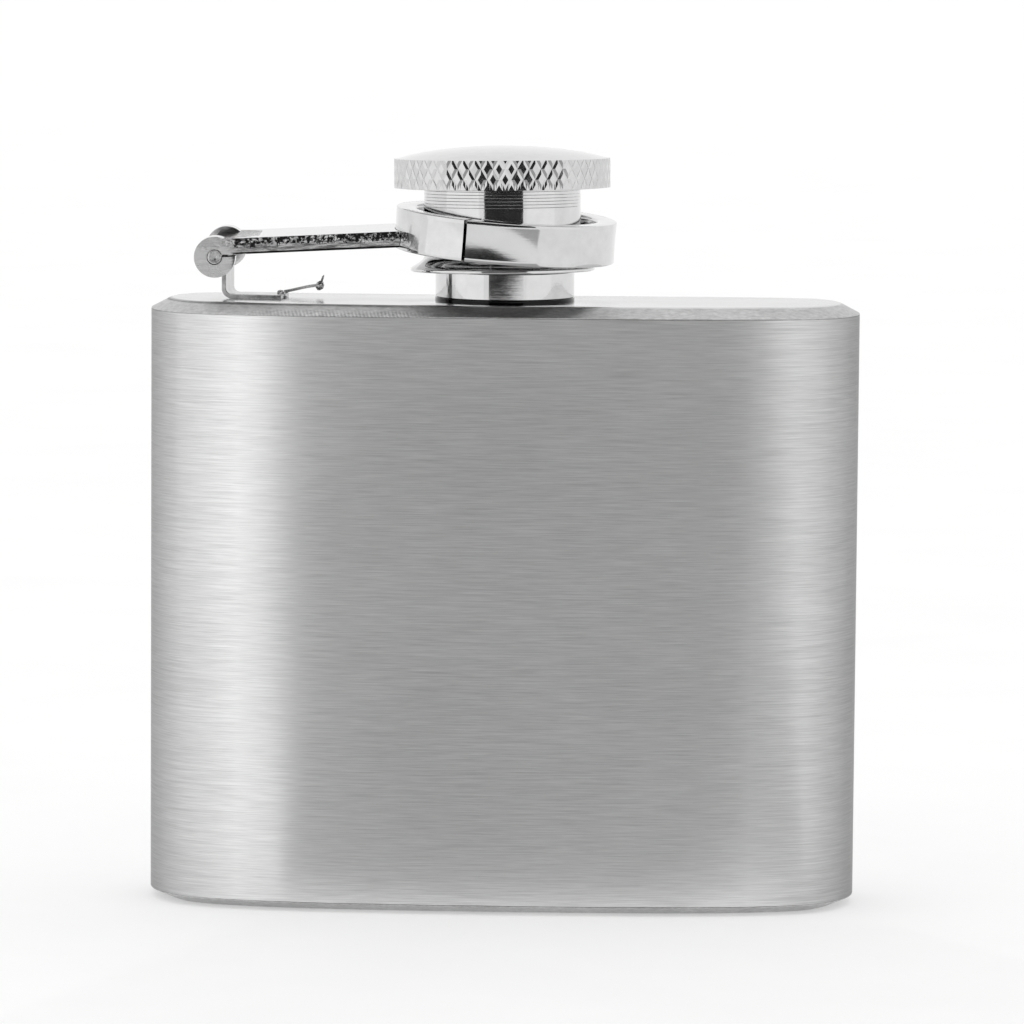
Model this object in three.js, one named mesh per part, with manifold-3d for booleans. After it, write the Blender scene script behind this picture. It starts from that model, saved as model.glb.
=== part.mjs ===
// A small curved hip flask with a captive screw cap. Millimetres, +Z up, +X to the right and +Y to
// the hollow back. The origin is the middle of the flat base, under the axis of the neck.
import * as THREE from 'three';
import { mergeVertices } from 'three/addons/utils/BufferGeometryUtils.js';
import Module from 'manifold-3d';

// ---- Driving dimensions -------------------------------------------------------------------------

// Body: a bowed tube of sheet steel closed by two pressed plates with bevelled rims.
const BODY_WIDTH = 71;
const BODY_DEPTH = 20;
const BODY_HEIGHT = 60.5;
const BODY_BOW = 2;
const END_RADIUS = 9.7;
const SHELL_WALL = 0.6;
const PLATE_THICKNESS = 0.8;
const RIM_BEVEL_WIDTH = 2;
const TOP_BEVEL_HEIGHT = 1.15;
const BASE_BEVEL_HEIGHT = 0.95;

// Neck: heights are above the top plate.
const NECK_DIAMETER = 13.9;
const NECK_WALL = 0.85;
const NECK_SHOULDER_HEIGHT = 3;
const NECK_HEIGHT = 9.4;
const NECK_SPIGOT_WALL = 1.2;
const NECK_SPIGOT_LENGTH = 1.6;
const NECK_GROOVE_HEIGHT = 0.3;
const NECK_GROOVE_DEPTH = 0.3;
const THREAD_STEP = 0.7;
const THREAD_PITCH = 1.5;
const NECK_THREAD_DEPTH = 0.4;

// Cap: heights are above the top plate, with the cap screwed down. It sits a little askew, as far
// as the play of its thread lets it.
const HEAD_DIAMETER = 21.6;
const HEAD_BAND_HEIGHT = 2.95;
const HEAD_DOME_RISE = 1.25;
const HEAD_EDGE = 0.15;
const HEAD_HEIGHT = 11.2;
const SLEEVE_WALL = 0.58;
const SLEEVE_THREAD_DEPTH = 0.25;
const SLEEVE_HEIGHT = 2.9;
const SOCKET_DEPTH = 1;
const FLARE_OVERLAP = 0.2;
const FLARE_RISE = 1.05;
const FLARE_LIP = 0.5;
const FLARE_WALL = 0.6;
const LINER_THICKNESS = 1.35;
const CAP_SHIFT = -0.2;
const CAP_TIP_RIGHT_DEG = 0.7;
const CAP_TIP_FRONT_DEG = 1.2;

// Swivel ring on the cap's sleeve, tipped a little as it hangs just above the flare.
const RING_PLAY = 1.17;
const RING_WALL = 2.05;
const RING_BAND = 4.1;
const RING_CHAMFER = 0.3;
const RING_REST = 0.41;
const RING_TIP_RIGHT_DEG = 4.1;
const RING_TIP_FRONT_DEG = 2;
const RING_SLIT_WIDTH = 0.25;
const RING_SLIT_DEG = 248;

// Hinge and arm. The pin stands in from the left end of the body, and the arm meets the ring a
// little below the ring's mid-height.
const HINGE_INSET = 6.7;
const HINGE_HEIGHT = 4.42;
const HINGE_ROLL_DEG = 2.8;
const PIN_DIAMETER = 1.4;
const PIN_EDGE = 0.12;
const PIN_PROUD = 0.1;
const ARM_WIDTH = 8;
const ARM_THICKNESS = 1.6;
const ARM_DROP = 1.04;
const ARM_OVER_PIN = 0.2;
const KNUCKLE_RADIUS = 2.05;
const CURL_SEAM = 0.16;
const CURL_TAIL_DEG = -35;
const KNUCKLE_WIDTH = 1.6;
const REAR_EYE_LIFT = 0.35;
const SLOT_REACH = 4.4;
const BRACKET_SHEET = 0.45;
const BRACKET_CURL_DEG = 290;
const BRACKET_BEND = 0.6;
const BRACKET_FOOT = 5.6;
const BRACKET_TURN_DEG = 7.5;
const BRACKET_LEG_DROP = 0.5;
const TAIL_LENGTH = 3.9;
const TAIL_THICKNESS = 0.3;
const TAIL_WIDTH = 0.7;
const TAIL_RISE_DEG = 17;
const TAIL_LIFT = 0.3;

// Clearances.
const PLATE_JOINT = 0.05;
const CAP_JOINT = 0.05;
const ARM_JOINT = 0.06;
const PIN_GRIP = 0.08;
const PIN_PLAY = 0.12;
const KNUCKLE_PLAY = 0.4;
const THREAD_PLAY = 0.75;

// How finely curves are faceted.
const SIDE_SEGMENTS = 20;
const CORNER_SEGMENTS = 8;
const ROUND_SEGMENTS = 40;
const DOME_SEGMENTS = 8;
const THREAD_ROW = 0.3;
const CURL_SEGMENTS = 20;

// ---- Sizes that follow from them ----------------------------------------------------------------

const degrees = THREE.MathUtils.degToRad;
const TOP = BODY_HEIGHT;
const SHELL_TOP = TOP - TOP_BEVEL_HEIGHT;
const NECK_CREST = NECK_DIAMETER / 2 - THREAD_STEP;
const NECK_ROOT = NECK_CREST - NECK_THREAD_DEPTH;
const NECK_BORE = NECK_ROOT - NECK_WALL;
const NECK_SPIGOT = NECK_BORE + NECK_SPIGOT_WALL;
const SLEEVE_CREST = NECK_CREST + THREAD_PLAY;
const SLEEVE_BORE = SLEEVE_CREST + SLEEVE_THREAD_DEPTH;
const SLEEVE_RADIUS = SLEEVE_BORE + SLEEVE_WALL;
const RING_BORE = SLEEVE_RADIUS + RING_PLAY;
const RING_RADIUS = RING_BORE + RING_WALL;
const FLARE_RADIUS = RING_BORE + FLARE_OVERLAP;
const RING_TIP = Math.hypot(degrees(RING_TIP_RIGHT_DEG), degrees(RING_TIP_FRONT_DEG));
const RING_DIP = (RING_BORE + RING_CHAMFER) * Math.sin(RING_TIP);
const RING_HEIGHT = SLEEVE_HEIGHT + FLARE_LIP + RING_REST + RING_BAND / 2 + RING_DIP;
const HINGE_X = HINGE_INSET - BODY_WIDTH / 2;
const HINGE_Z = TOP + HINGE_HEIGHT;
const ARM_MIDDLE = ARM_OVER_PIN + ARM_THICKNESS / 2;
const ARM_END_Z = RING_HEIGHT + RING_RADIUS * Math.sin(degrees(RING_TIP_RIGHT_DEG)) - ARM_DROP;
const ARM_RISE = Math.atan2(ARM_END_Z - ARM_MIDDLE - HINGE_HEIGHT, -HINGE_X - RING_RADIUS);
const PIN_RADIUS = PIN_DIAMETER / 2;
const BRACKET_WIDTH = ARM_WIDTH - 2 * (KNUCKLE_WIDTH + KNUCKLE_PLAY);

const wasm = await Module();
wasm.setup();

// ---- Building blocks ----------------------------------------------------------------------------

// A closed surface through rings of points that run anticlockwise seen from above. The rings climb
// the outside. A hollow surface joins its last ring to its first, a full one has flat ends.
function skin(rings, hollow) {
  const count = rings[0].length;
  const points = rings.flat();
  const faces = [];
  const spans = hollow ? rings.length : rings.length - 1;
  for (let row = 0; row < spans; row += 1) {
    const low = row * count;
    const high = ((row + 1) % rings.length) * count;
    for (let i = 0; i < count; i += 1) {
      const next = (i + 1) % count;
      faces.push(low + i, low + next, high + next, low + i, high + next, high + i);
    }
  }
  if (!hollow) {
    const last = (rings.length - 1) * count;
    const bottom = points.push(new THREE.Vector3(0, 0, rings[0][0].z)) - 1;
    const top = points.push(new THREE.Vector3(0, 0, rings[rings.length - 1][0].z)) - 1;
    for (let i = 0; i < count; i += 1) {
      const next = (i + 1) % count;
      faces.push(bottom, next, i, top, last + i, last + next);
    }
  }
  const geometry = new THREE.BufferGeometry().setFromPoints(points);
  geometry.setIndex(faces);
  return geometry;
}

// A round ring of points at one height, with a radius for each angle.
function circle(z, radiusAt) {
  return Array.from({ length: ROUND_SEGMENTS }, (_, i) => {
    const angle = (2 * Math.PI * i) / ROUND_SEGMENTS;
    const radius = radiusAt(angle);
    return new THREE.Vector3(radius * Math.cos(angle), radius * Math.sin(angle), z);
  });
}

// A turned solid about Z from a profile of [radius, height] pairs.
function turned(profile) {
  const points = profile.map(([radius, z]) => new THREE.Vector2(radius, z));
  return new THREE.LatheGeometry(points, ROUND_SEGMENTS).rotateX(Math.PI / 2);
}

// A flat outline in X and Z, extruded to a width centred on Y = 0.
function plank(shape, width) {
  const geometry = new THREE.ExtrudeGeometry(shape, {
    depth: width,
    bevelEnabled: false,
    curveSegments: CURL_SEGMENTS,
  });
  return geometry.translate(0, 0, -width / 2).rotateX(Math.PI / 2);
}

function solid(geometry) {
  const bare = geometry.clone();
  bare.deleteAttribute('normal');
  bare.deleteAttribute('uv');
  const merged = mergeVertices(bare);
  return new wasm.Manifold(new wasm.Mesh({
    numProp: 3,
    vertProperties: merged.attributes.position.array,
    triVerts: new Uint32Array(merged.index.array),
  }));
}

function geometryOf(manifold) {
  const mesh = manifold.getMesh();
  const geometry = new THREE.BufferGeometry();
  geometry.setAttribute('position', new THREE.BufferAttribute(mesh.vertProperties, 3));
  geometry.setIndex(new THREE.BufferAttribute(mesh.triVerts, 1));
  return geometry;
}

function piece(name, geometry, color, roughness, metalness) {
  const flat = geometry.index ? geometry.toNonIndexed() : geometry;
  flat.computeVertexNormals();
  const material = new THREE.MeshStandardMaterial({ color, roughness, metalness });
  const mesh = new THREE.Mesh(flat, material);
  mesh.name = name;
  return mesh;
}

// ---- Body ---------------------------------------------------------------------------------------

// Plan of the body at one height, drawn in from its outside by an inset: a rounded rectangle whose
// long sides are bowed so that the front bulges and the back is hollow.
function plan(z, inset) {
  const width = BODY_WIDTH / 2 - inset;
  const depth = BODY_DEPTH / 2 - inset;
  const radius = Math.min(END_RADIUS, BODY_DEPTH / 2) - inset;
  const flat = width - radius;
  const outline = [];
  const put = (x, y) => {
    const bow = BODY_BOW * (x / (BODY_WIDTH / 2)) ** 2 - BODY_BOW / 2;
    outline.push(new THREE.Vector3(x, y + bow, z));
  };
  const side = (y, from) => {
    for (let i = 1; i < SIDE_SEGMENTS; i += 1) {
      put(from * flat * (1 - (2 * i) / SIDE_SEGMENTS), y);
    }
  };
  const corner = (cx, cy, start) => {
    for (let i = 0; i <= CORNER_SEGMENTS; i += 1) {
      const angle = start + (Math.PI / 2) * (i / CORNER_SEGMENTS);
      put(cx + radius * Math.cos(angle), cy + radius * Math.sin(angle));
    }
  };
  const centre = depth - radius;
  corner(flat, centre, 0);
  side(depth, 1);
  corner(-flat, centre, Math.PI / 2);
  corner(-flat, -centre, Math.PI);
  side(-depth, -1);
  corner(flat, -centre, 1.5 * Math.PI);
  return outline;
}

function bodyShell() {
  const rings = [
    plan(BASE_BEVEL_HEIGHT, 0),
    plan(SHELL_TOP, 0),
    plan(SHELL_TOP, SHELL_WALL),
    plan(BASE_BEVEL_HEIGHT, SHELL_WALL),
  ];
  return piece('body_shell', skin(rings, true), 0xb4b4b4, 0.4, 1);
}

// A pressed plate: flat middle, bevelled rim, hollow underneath. It stands on the base plane.
function pressedPlate(bevelHeight) {
  const outside = [plan(0, RIM_BEVEL_WIDTH), plan(bevelHeight, 0)];
  const seat = plan(bevelHeight, SHELL_WALL);
  const hollow = plan(PLATE_THICKNESS, RIM_BEVEL_WIDTH + SHELL_WALL / 2);
  const pan = solid(skin(outside, false));
  const lift = (ring, up) => ring.map((p) => p.clone().setZ(p.z + up));
  const inside = solid(skin([hollow, seat, lift(seat, PLATE_THICKNESS)], false));
  return pan.subtract(inside);
}

function basePlate() {
  return piece('base_plate', geometryOf(pressedPlate(BASE_BEVEL_HEIGHT)), 0xbcbcbc, 0.35, 1);
}

// The same pressing turned over, with a round hole for the neck.
function topPlate() {
  const radius = NECK_SPIGOT + PLATE_JOINT;
  const under = TOP - 2 * PLATE_THICKNESS;
  const over = TOP + PLATE_THICKNESS;
  const hole = turned([[0, under], [radius, under], [radius, over], [0, over]]);
  const turnOver = new THREE.Matrix4().makeScale(1, 1, -1).setPosition(0, 0, TOP);
  const plate = pressedPlate(TOP_BEVEL_HEIGHT).transform(turnOver.toArray());
  return piece('top_plate', geometryOf(plate.subtract(solid(hole))), 0xc4c4c4, 0.3, 1);
}

// ---- Neck ---------------------------------------------------------------------------------------

// Rows of a helical thread between two heights. The ridge stands out from the root and dies away
// over half a pitch at each end.
function threadRows(bottom, top, root, depth) {
  const rows = Math.ceil((top - bottom) / THREAD_ROW);
  const fade = THREAD_PITCH / 2;
  return Array.from({ length: rows + 1 }, (_, row) => {
    const z = bottom + ((top - bottom) * row) / rows;
    const strength = Math.min(1, (z - bottom) / fade, (top - z) / fade);
    return circle(z, (angle) => {
      const turn = (z - bottom) / THREAD_PITCH - angle / (2 * Math.PI);
      return root + depth * strength * (0.5 + 0.5 * Math.cos(2 * Math.PI * turn));
    });
  });
}

function neckTube() {
  const outside = NECK_DIAMETER / 2;
  const steady = (radius) => () => radius;
  const groove = outside - NECK_GROOVE_DEPTH;
  const rings = [
    circle(TOP - NECK_SPIGOT_LENGTH, steady(NECK_SPIGOT)),
    circle(TOP, steady(NECK_SPIGOT)),
    circle(TOP, steady(groove)),
    circle(TOP + NECK_GROOVE_HEIGHT, steady(groove)),
    circle(TOP + NECK_GROOVE_HEIGHT, steady(outside)),
    circle(TOP + NECK_SHOULDER_HEIGHT, steady(outside)),
    ...threadRows(TOP + NECK_SHOULDER_HEIGHT, TOP + NECK_HEIGHT, NECK_ROOT, NECK_THREAD_DEPTH),
    circle(TOP + NECK_HEIGHT, steady(NECK_BORE)),
    circle(TOP - NECK_SPIGOT_LENGTH, steady(NECK_BORE)),
  ];
  return piece('neck_tube', skin(rings, true), 0xd6d6d6, 0.15, 1);
}

// ---- Cap ----------------------------------------------------------------------------------------

// Disc with a grip band and a low dome. The sleeve's top edge sits in a groove underneath.
function capHead() {
  const radius = HEAD_DIAMETER / 2;
  const bottom = HEAD_HEIGHT;
  const brow = bottom + HEAD_BAND_HEIGHT;
  const grooveInside = SLEEVE_BORE - CAP_JOINT;
  const grooveOutside = SLEEVE_RADIUS + CAP_JOINT;
  const rim = radius - HEAD_EDGE;
  const profile = [
    [0, bottom],
    [grooveInside, bottom],
    [grooveInside, bottom + SOCKET_DEPTH],
    [grooveOutside, bottom + SOCKET_DEPTH],
    [grooveOutside, bottom],
    [rim, bottom],
    [radius, bottom + HEAD_EDGE],
    [radius, brow - HEAD_EDGE],
  ];
  for (let i = 0; i < DOME_SEGMENTS; i += 1) {
    const share = i / DOME_SEGMENTS;
    profile.push([rim * (1 - share), brow + HEAD_DOME_RISE * (1 - (1 - share) ** 2)]);
  }
  profile.push([0, brow + HEAD_DOME_RISE]);
  return piece('cap_head', turned(profile), 0xd2d2d2, 0.2, 1);
}

// Threaded sleeve. Its lower end is flared out to keep the swivel ring on.
function capSleeve() {
  const low = SLEEVE_HEIGHT;
  const lip = low + FLARE_LIP;
  const flareTop = lip + FLARE_RISE;
  const high = HEAD_HEIGHT + SOCKET_DEPTH - CAP_JOINT;
  const steady = (radius) => () => radius;
  const thread = threadRows(flareTop, NECK_HEIGHT, SLEEVE_BORE, -SLEEVE_THREAD_DEPTH);
  const rings = [
    circle(low, steady(FLARE_RADIUS)),
    circle(lip, steady(FLARE_RADIUS)),
    circle(flareTop, steady(SLEEVE_RADIUS)),
    circle(high, steady(SLEEVE_RADIUS)),
    circle(high, steady(SLEEVE_BORE)),
    ...thread.reverse(),
    circle(low, steady(FLARE_RADIUS - FLARE_WALL)),
  ];
  return piece('cap_sleeve', skin(rings, true), 0xd2d2d2, 0.15, 1);
}

// Soft sealing disc inside the sleeve, under the head.
function capLiner() {
  const radius = SLEEVE_BORE - 2 * CAP_JOINT;
  const high = HEAD_HEIGHT - CAP_JOINT;
  const low = high - LINER_THICKNESS;
  const profile = [[0, low], [radius, low], [radius, high], [0, high]];
  return piece('cap_liner', turned(profile), 0xf0f0ec, 0.6, 0);
}

function capPlace() {
  const place = new THREE.Group();
  place.position.set(CAP_SHIFT, 0, TOP);
  place.rotation.set(degrees(-CAP_TIP_FRONT_DEG), degrees(-CAP_TIP_RIGHT_DEG), 0);
  return place;
}

// ---- Swivel ring --------------------------------------------------------------------------------

// A strip rolled round and butted: the slit is where its ends meet.
function swivelRing() {
  const half = RING_BAND / 2;
  const inner = half - RING_CHAMFER;
  const profile = [
    [RING_BORE + RING_CHAMFER, -half],
    [RING_RADIUS, -half],
    [RING_RADIUS, half],
    [RING_BORE + RING_CHAMFER, half],
    [RING_BORE, inner],
    [RING_BORE, -inner],
    [RING_BORE + RING_CHAMFER, -half],
  ];
  const reach = 2 * RING_WALL;
  const slit = new THREE.BoxGeometry(reach, RING_SLIT_WIDTH, 2 * RING_BAND);
  slit.translate(RING_BORE + RING_WALL / 2, 0, 0).rotateZ(degrees(RING_SLIT_DEG));
  const band = solid(turned(profile)).subtract(solid(slit));
  return piece('swivel_ring', geometryOf(band), 0xd2d2d2, 0.12, 1);
}

function ringPlace() {
  const place = new THREE.Group();
  place.position.set(0, 0, TOP + RING_HEIGHT);
  place.rotation.set(degrees(RING_TIP_FRONT_DEG), degrees(RING_TIP_RIGHT_DEG), 0);
  place.updateMatrix();
  return place;
}

// ---- Hinge --------------------------------------------------------------------------------------

function hingePlace() {
  const place = new THREE.Group();
  place.position.set(HINGE_X, 0, HINGE_Z);
  place.rotation.set(degrees(HINGE_ROLL_DEG), -ARM_RISE, 0);
  place.updateMatrix();
  return place;
}

// Side view of the arm about the pin: a straight strip whose end is rolled under into an eye.
function armOutline(length) {
  const bore = PIN_RADIUS + PIN_GRIP;
  const top = ARM_OVER_PIN + ARM_THICKNESS;
  const tailTop = ARM_OVER_PIN - CURL_SEAM;
  const tail = degrees(CURL_TAIL_DEG);
  const shape = new THREE.Shape();
  shape.moveTo(length, ARM_OVER_PIN);
  shape.lineTo(length, top);
  const start = Math.asin(top / KNUCKLE_RADIUS);
  shape.lineTo(KNUCKLE_RADIUS * Math.cos(start), top);
  shape.absarc(0, 0, KNUCKLE_RADIUS, start, 2 * Math.PI + tail, false);
  const run = (tailTop - KNUCKLE_RADIUS * Math.sin(tail)) / Math.cos(tail);
  shape.lineTo(KNUCKLE_RADIUS * Math.cos(tail) - run * Math.sin(tail), tailTop);
  const seamLow = Math.asin(tailTop / bore);
  const seamHigh = Math.asin(ARM_OVER_PIN / bore);
  shape.lineTo(bore * Math.cos(seamLow), tailTop);
  shape.absarc(0, 0, bore, 2 * Math.PI + seamLow, seamHigh, true);
  return shape;
}

// The rear knuckle is rolled a little higher than the front one.
function rearEye() {
  const bore = PIN_RADIUS + PIN_GRIP;
  const outline = new THREE.Shape().absarc(0, REAR_EYE_LIFT, KNUCKLE_RADIUS, 0, 2 * Math.PI, false);
  outline.holes.push(new THREE.Path().absarc(0, 0, bore, 0, 2 * Math.PI, true));
  const eye = plank(outline, KNUCKLE_WIDTH);
  return solid(eye.translate(0, (ARM_WIDTH - KNUCKLE_WIDTH) / 2, 0));
}

// The arm's end is hollowed to meet the ring, and its eye is slotted for the bracket.
function hingeArm(ring, hinge) {
  const across = Math.asin(ARM_WIDTH / 2 / RING_RADIUS);
  const length = -HINGE_X - RING_RADIUS * Math.cos(across) + RING_CHAMFER;
  const bar = solid(plank(armOutline(length), ARM_WIDTH));
  const slotLength = SLOT_REACH + 2 * KNUCKLE_RADIUS;
  const slot = new THREE.BoxGeometry(slotLength, ARM_WIDTH - 2 * KNUCKLE_WIDTH, 4 * KNUCKLE_RADIUS);
  slot.translate(SLOT_REACH - slotLength / 2, 0, 0);
  const room = RING_RADIUS + ARM_JOINT;
  const hollow = turned([[0, -RING_BAND], [room, -RING_BAND], [room, RING_BAND], [0, RING_BAND]]);
  hollow.applyMatrix4(hinge.matrix.clone().invert().multiply(ring.matrix));
  const arm = bar.subtract(solid(slot)).add(rearEye()).subtract(solid(hollow));
  return piece('hinge_arm', geometryOf(arm), 0xcccccc, 0.25, 1);
}

// Riveted pin through the arm's two knuckles.
function hingePin() {
  const half = ARM_WIDTH / 2 + PIN_PROUD;
  const edge = PIN_RADIUS - PIN_EDGE;
  const profile = [
    [0, -half],
    [edge, -half],
    [PIN_RADIUS, PIN_EDGE - half],
    [PIN_RADIUS, half - PIN_EDGE],
    [edge, half],
    [0, half],
  ];
  return piece('hinge_pin', turned(profile).rotateX(Math.PI / 2), 0xc8c8c8, 0.25, 1);
}

// Side view of the bracket's eye about the pin, rolled from the top of the leg.
function bracketEye() {
  const bore = PIN_RADIUS + PIN_PLAY;
  const outside = bore + BRACKET_SHEET;
  const end = degrees(BRACKET_CURL_DEG);
  const shape = new THREE.Shape();
  shape.moveTo(outside, -BRACKET_LEG_DROP);
  shape.lineTo(outside, 0);
  shape.absarc(0, 0, outside, 0, end, false);
  shape.absarc(0, 0, bore, end, 0, true);
  shape.lineTo(bore, -BRACKET_LEG_DROP);
  return shape;
}

// Side view of the leg, the bend and the foot that lies on the plate.
function bracketLeg() {
  const left = PIN_RADIUS + PIN_PLAY;
  const right = left + BRACKET_SHEET;
  const centreX = right + BRACKET_BEND;
  const centreZ = BRACKET_SHEET + BRACKET_BEND - HINGE_HEIGHT;
  const shape = new THREE.Shape();
  shape.moveTo(left, -BRACKET_LEG_DROP / 2);
  shape.lineTo(left, centreZ);
  shape.absarc(centreX, centreZ, BRACKET_BEND + BRACKET_SHEET, Math.PI, 1.5 * Math.PI, false);
  shape.lineTo(right + BRACKET_FOOT, -HINGE_HEIGHT);
  shape.lineTo(right + BRACKET_FOOT, BRACKET_SHEET - HINGE_HEIGHT);
  shape.lineTo(centreX, BRACKET_SHEET - HINGE_HEIGHT);
  shape.absarc(centreX, centreZ, BRACKET_BEND, 1.5 * Math.PI, Math.PI, true);
  shape.lineTo(right, -BRACKET_LEG_DROP / 2);
  return shape;
}

// The foot ends in a thin tail of sheet that springs up off the plate at its rear edge. The leg
// and the foot are turned a little against the eye, which stays in line with the pin.
function hingeBracket() {
  const roll = degrees(HINGE_ROLL_DEG);
  const bore = PIN_RADIUS + PIN_PLAY;
  const eye = plank(bracketEye(), BRACKET_WIDTH).rotateX(roll);
  const pinRoom = turned([[0, -ARM_WIDTH], [bore, -ARM_WIDTH], [bore, ARM_WIDTH], [0, ARM_WIDTH]]);
  pinRoom.rotateX(Math.PI / 2 + roll);
  const tail = new THREE.BoxGeometry(TAIL_LENGTH, TAIL_WIDTH, TAIL_THICKNESS);
  tail.translate(TAIL_LENGTH / 2 - TAIL_THICKNESS, 0, 0).rotateY(degrees(-TAIL_RISE_DEG));
  const footEnd = bore + BRACKET_SHEET + BRACKET_FOOT - TAIL_THICKNESS;
  tail.translate(footEnd, (BRACKET_WIDTH - TAIL_WIDTH) / 2, TAIL_LIFT - HINGE_HEIGHT);
  const leg = solid(plank(bracketLeg(), BRACKET_WIDTH)).add(solid(tail));
  const turn = new THREE.Matrix4().makeRotationZ(degrees(-BRACKET_TURN_DEG));
  const strip = leg.transform(turn.toArray()).subtract(solid(pinRoom));
  const bracket = piece('hinge_bracket', geometryOf(strip.add(solid(eye))), 0xc0c0c0, 0.3, 1);
  bracket.position.set(HINGE_X, 0, HINGE_Z);
  return bracket;
}

// ---- Assembly -----------------------------------------------------------------------------------

const flask = new THREE.Group();
flask.add(bodyShell(), basePlate(), topPlate(), neckTube(), hingeBracket());

const cap = capPlace();
cap.add(capHead(), capSleeve(), capLiner());

const ring = ringPlace();
ring.add(swivelRing());

const hinge = hingePlace();
hinge.add(hingeArm(ring, hinge), hingePin());

flask.add(cap, ring, hinge);

export default flask;
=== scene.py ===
from math import atan2, cos, hypot, pi, radians, sin, tan, tau

import bmesh
import bpy
from mathutils import Matrix, Vector


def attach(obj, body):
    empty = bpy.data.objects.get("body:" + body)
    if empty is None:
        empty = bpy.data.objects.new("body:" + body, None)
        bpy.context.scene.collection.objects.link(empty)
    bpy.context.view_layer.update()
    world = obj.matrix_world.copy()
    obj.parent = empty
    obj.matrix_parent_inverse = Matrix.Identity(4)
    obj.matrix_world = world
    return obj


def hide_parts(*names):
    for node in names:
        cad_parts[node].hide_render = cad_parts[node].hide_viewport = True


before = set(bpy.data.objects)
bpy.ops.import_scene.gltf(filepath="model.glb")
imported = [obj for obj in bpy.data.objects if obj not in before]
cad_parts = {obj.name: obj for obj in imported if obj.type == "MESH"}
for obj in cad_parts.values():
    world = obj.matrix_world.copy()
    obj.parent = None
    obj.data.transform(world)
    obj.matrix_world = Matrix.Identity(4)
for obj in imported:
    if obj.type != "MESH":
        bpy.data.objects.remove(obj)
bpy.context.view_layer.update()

# ---- Body shell ----------------------------------------------------------------------------------
# One strip of 0.6 mm stainless sheet, rolled into a flattened tube with round ends and bowed so
# that the front bulges and the back is hollow. It is brushed along its length once it is welded.
MM = 0.001
BODY_WIDTH = 71 * MM
BODY_DEPTH = 20 * MM
BODY_BOW = 2 * MM
END_RADIUS = 9.7 * MM
TOP = 60.5 * MM
TOP_SEAM = TOP - 1.15 * MM
BASE_SEAM = 0.95 * MM
SHELL_WALL = 0.6 * MM
SHELL_EDGE = 0.06 * MM
CORNER_SEGMENTS = 20
STRIP_CUTS = 63
EASED_FROM = 14 * MM
EASED_TO = 31.5 * MM
EASINGS = 170
FLAT_HALF = 8 * MM
LAST_EASINGS = 14


def take(*pieces):
    """Leave edit mode and select only these pieces, the first one active."""
    if bpy.context.mode != "OBJECT":
        bpy.ops.object.mode_set(mode="OBJECT")
    bpy.ops.object.select_all(action="DESELECT")
    for piece in pieces:
        piece.select_set(True)
    if pieces:
        bpy.context.view_layer.objects.active = pieces[0]


def add(kind, name, scale=(1, 1, 1), **size):
    """Add a primitive, apply its place and size, and open it in edit mode."""
    take()
    getattr(bpy.ops.mesh, f"primitive_{kind}_add")(**size)
    piece = bpy.context.object
    piece.name = piece.data.name = name
    piece.scale = scale
    bpy.ops.object.transform_apply(location=True, rotation=True, scale=True)
    bpy.ops.object.mode_set(mode="EDIT")
    return piece


def pick(kind, wanted):
    """In edit mode, select only the corners, edges or faces that are wanted, by their middle."""
    bpy.ops.mesh.select_mode(type=kind)
    bpy.ops.mesh.select_all(action="DESELECT")
    mesh = bpy.context.object.data
    work = bmesh.from_edit_mesh(mesh)
    for part in {"VERT": work.verts, "EDGE": work.edges, "FACE": work.faces}[kind]:
        corners = [part] if kind == "VERT" else list(part.verts)
        middle = sum((corner.co for corner in corners), Vector()) / len(corners)
        part.select_set(bool(wanted(middle, part)))
    work.select_flush_mode()
    bmesh.update_edit_mesh(mesh)


def close_mesh():
    """Merge doubled corners and point every face outwards."""
    bpy.ops.mesh.select_all(action="SELECT")
    bpy.ops.mesh.remove_doubles(threshold=0.001 * MM)
    bpy.ops.mesh.normals_make_consistent(inside=False)


def apply(piece, kind, **settings):
    """Add a modifier with these settings and apply it."""
    take(piece)
    modifier = piece.modifiers.new(kind.lower(), kind)
    for setting, value in settings.items():
        setattr(modifier, setting, value)
    bpy.ops.object.modifier_apply(modifier=modifier.name)


def soften(piece, width, angle=30, segments=2):
    """Break the sharp edges by a small width."""
    apply(piece, "BEVEL", width=width, segments=segments, limit_method="ANGLE",
          angle_limit=radians(angle), use_clamp_overlap=True, harden_normals=False)


def smooth(piece, angle=35):
    """Shade a piece smooth except at edges sharper than this angle."""
    take(piece)
    bpy.ops.object.shade_smooth_by_angle(angle=radians(angle))


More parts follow.
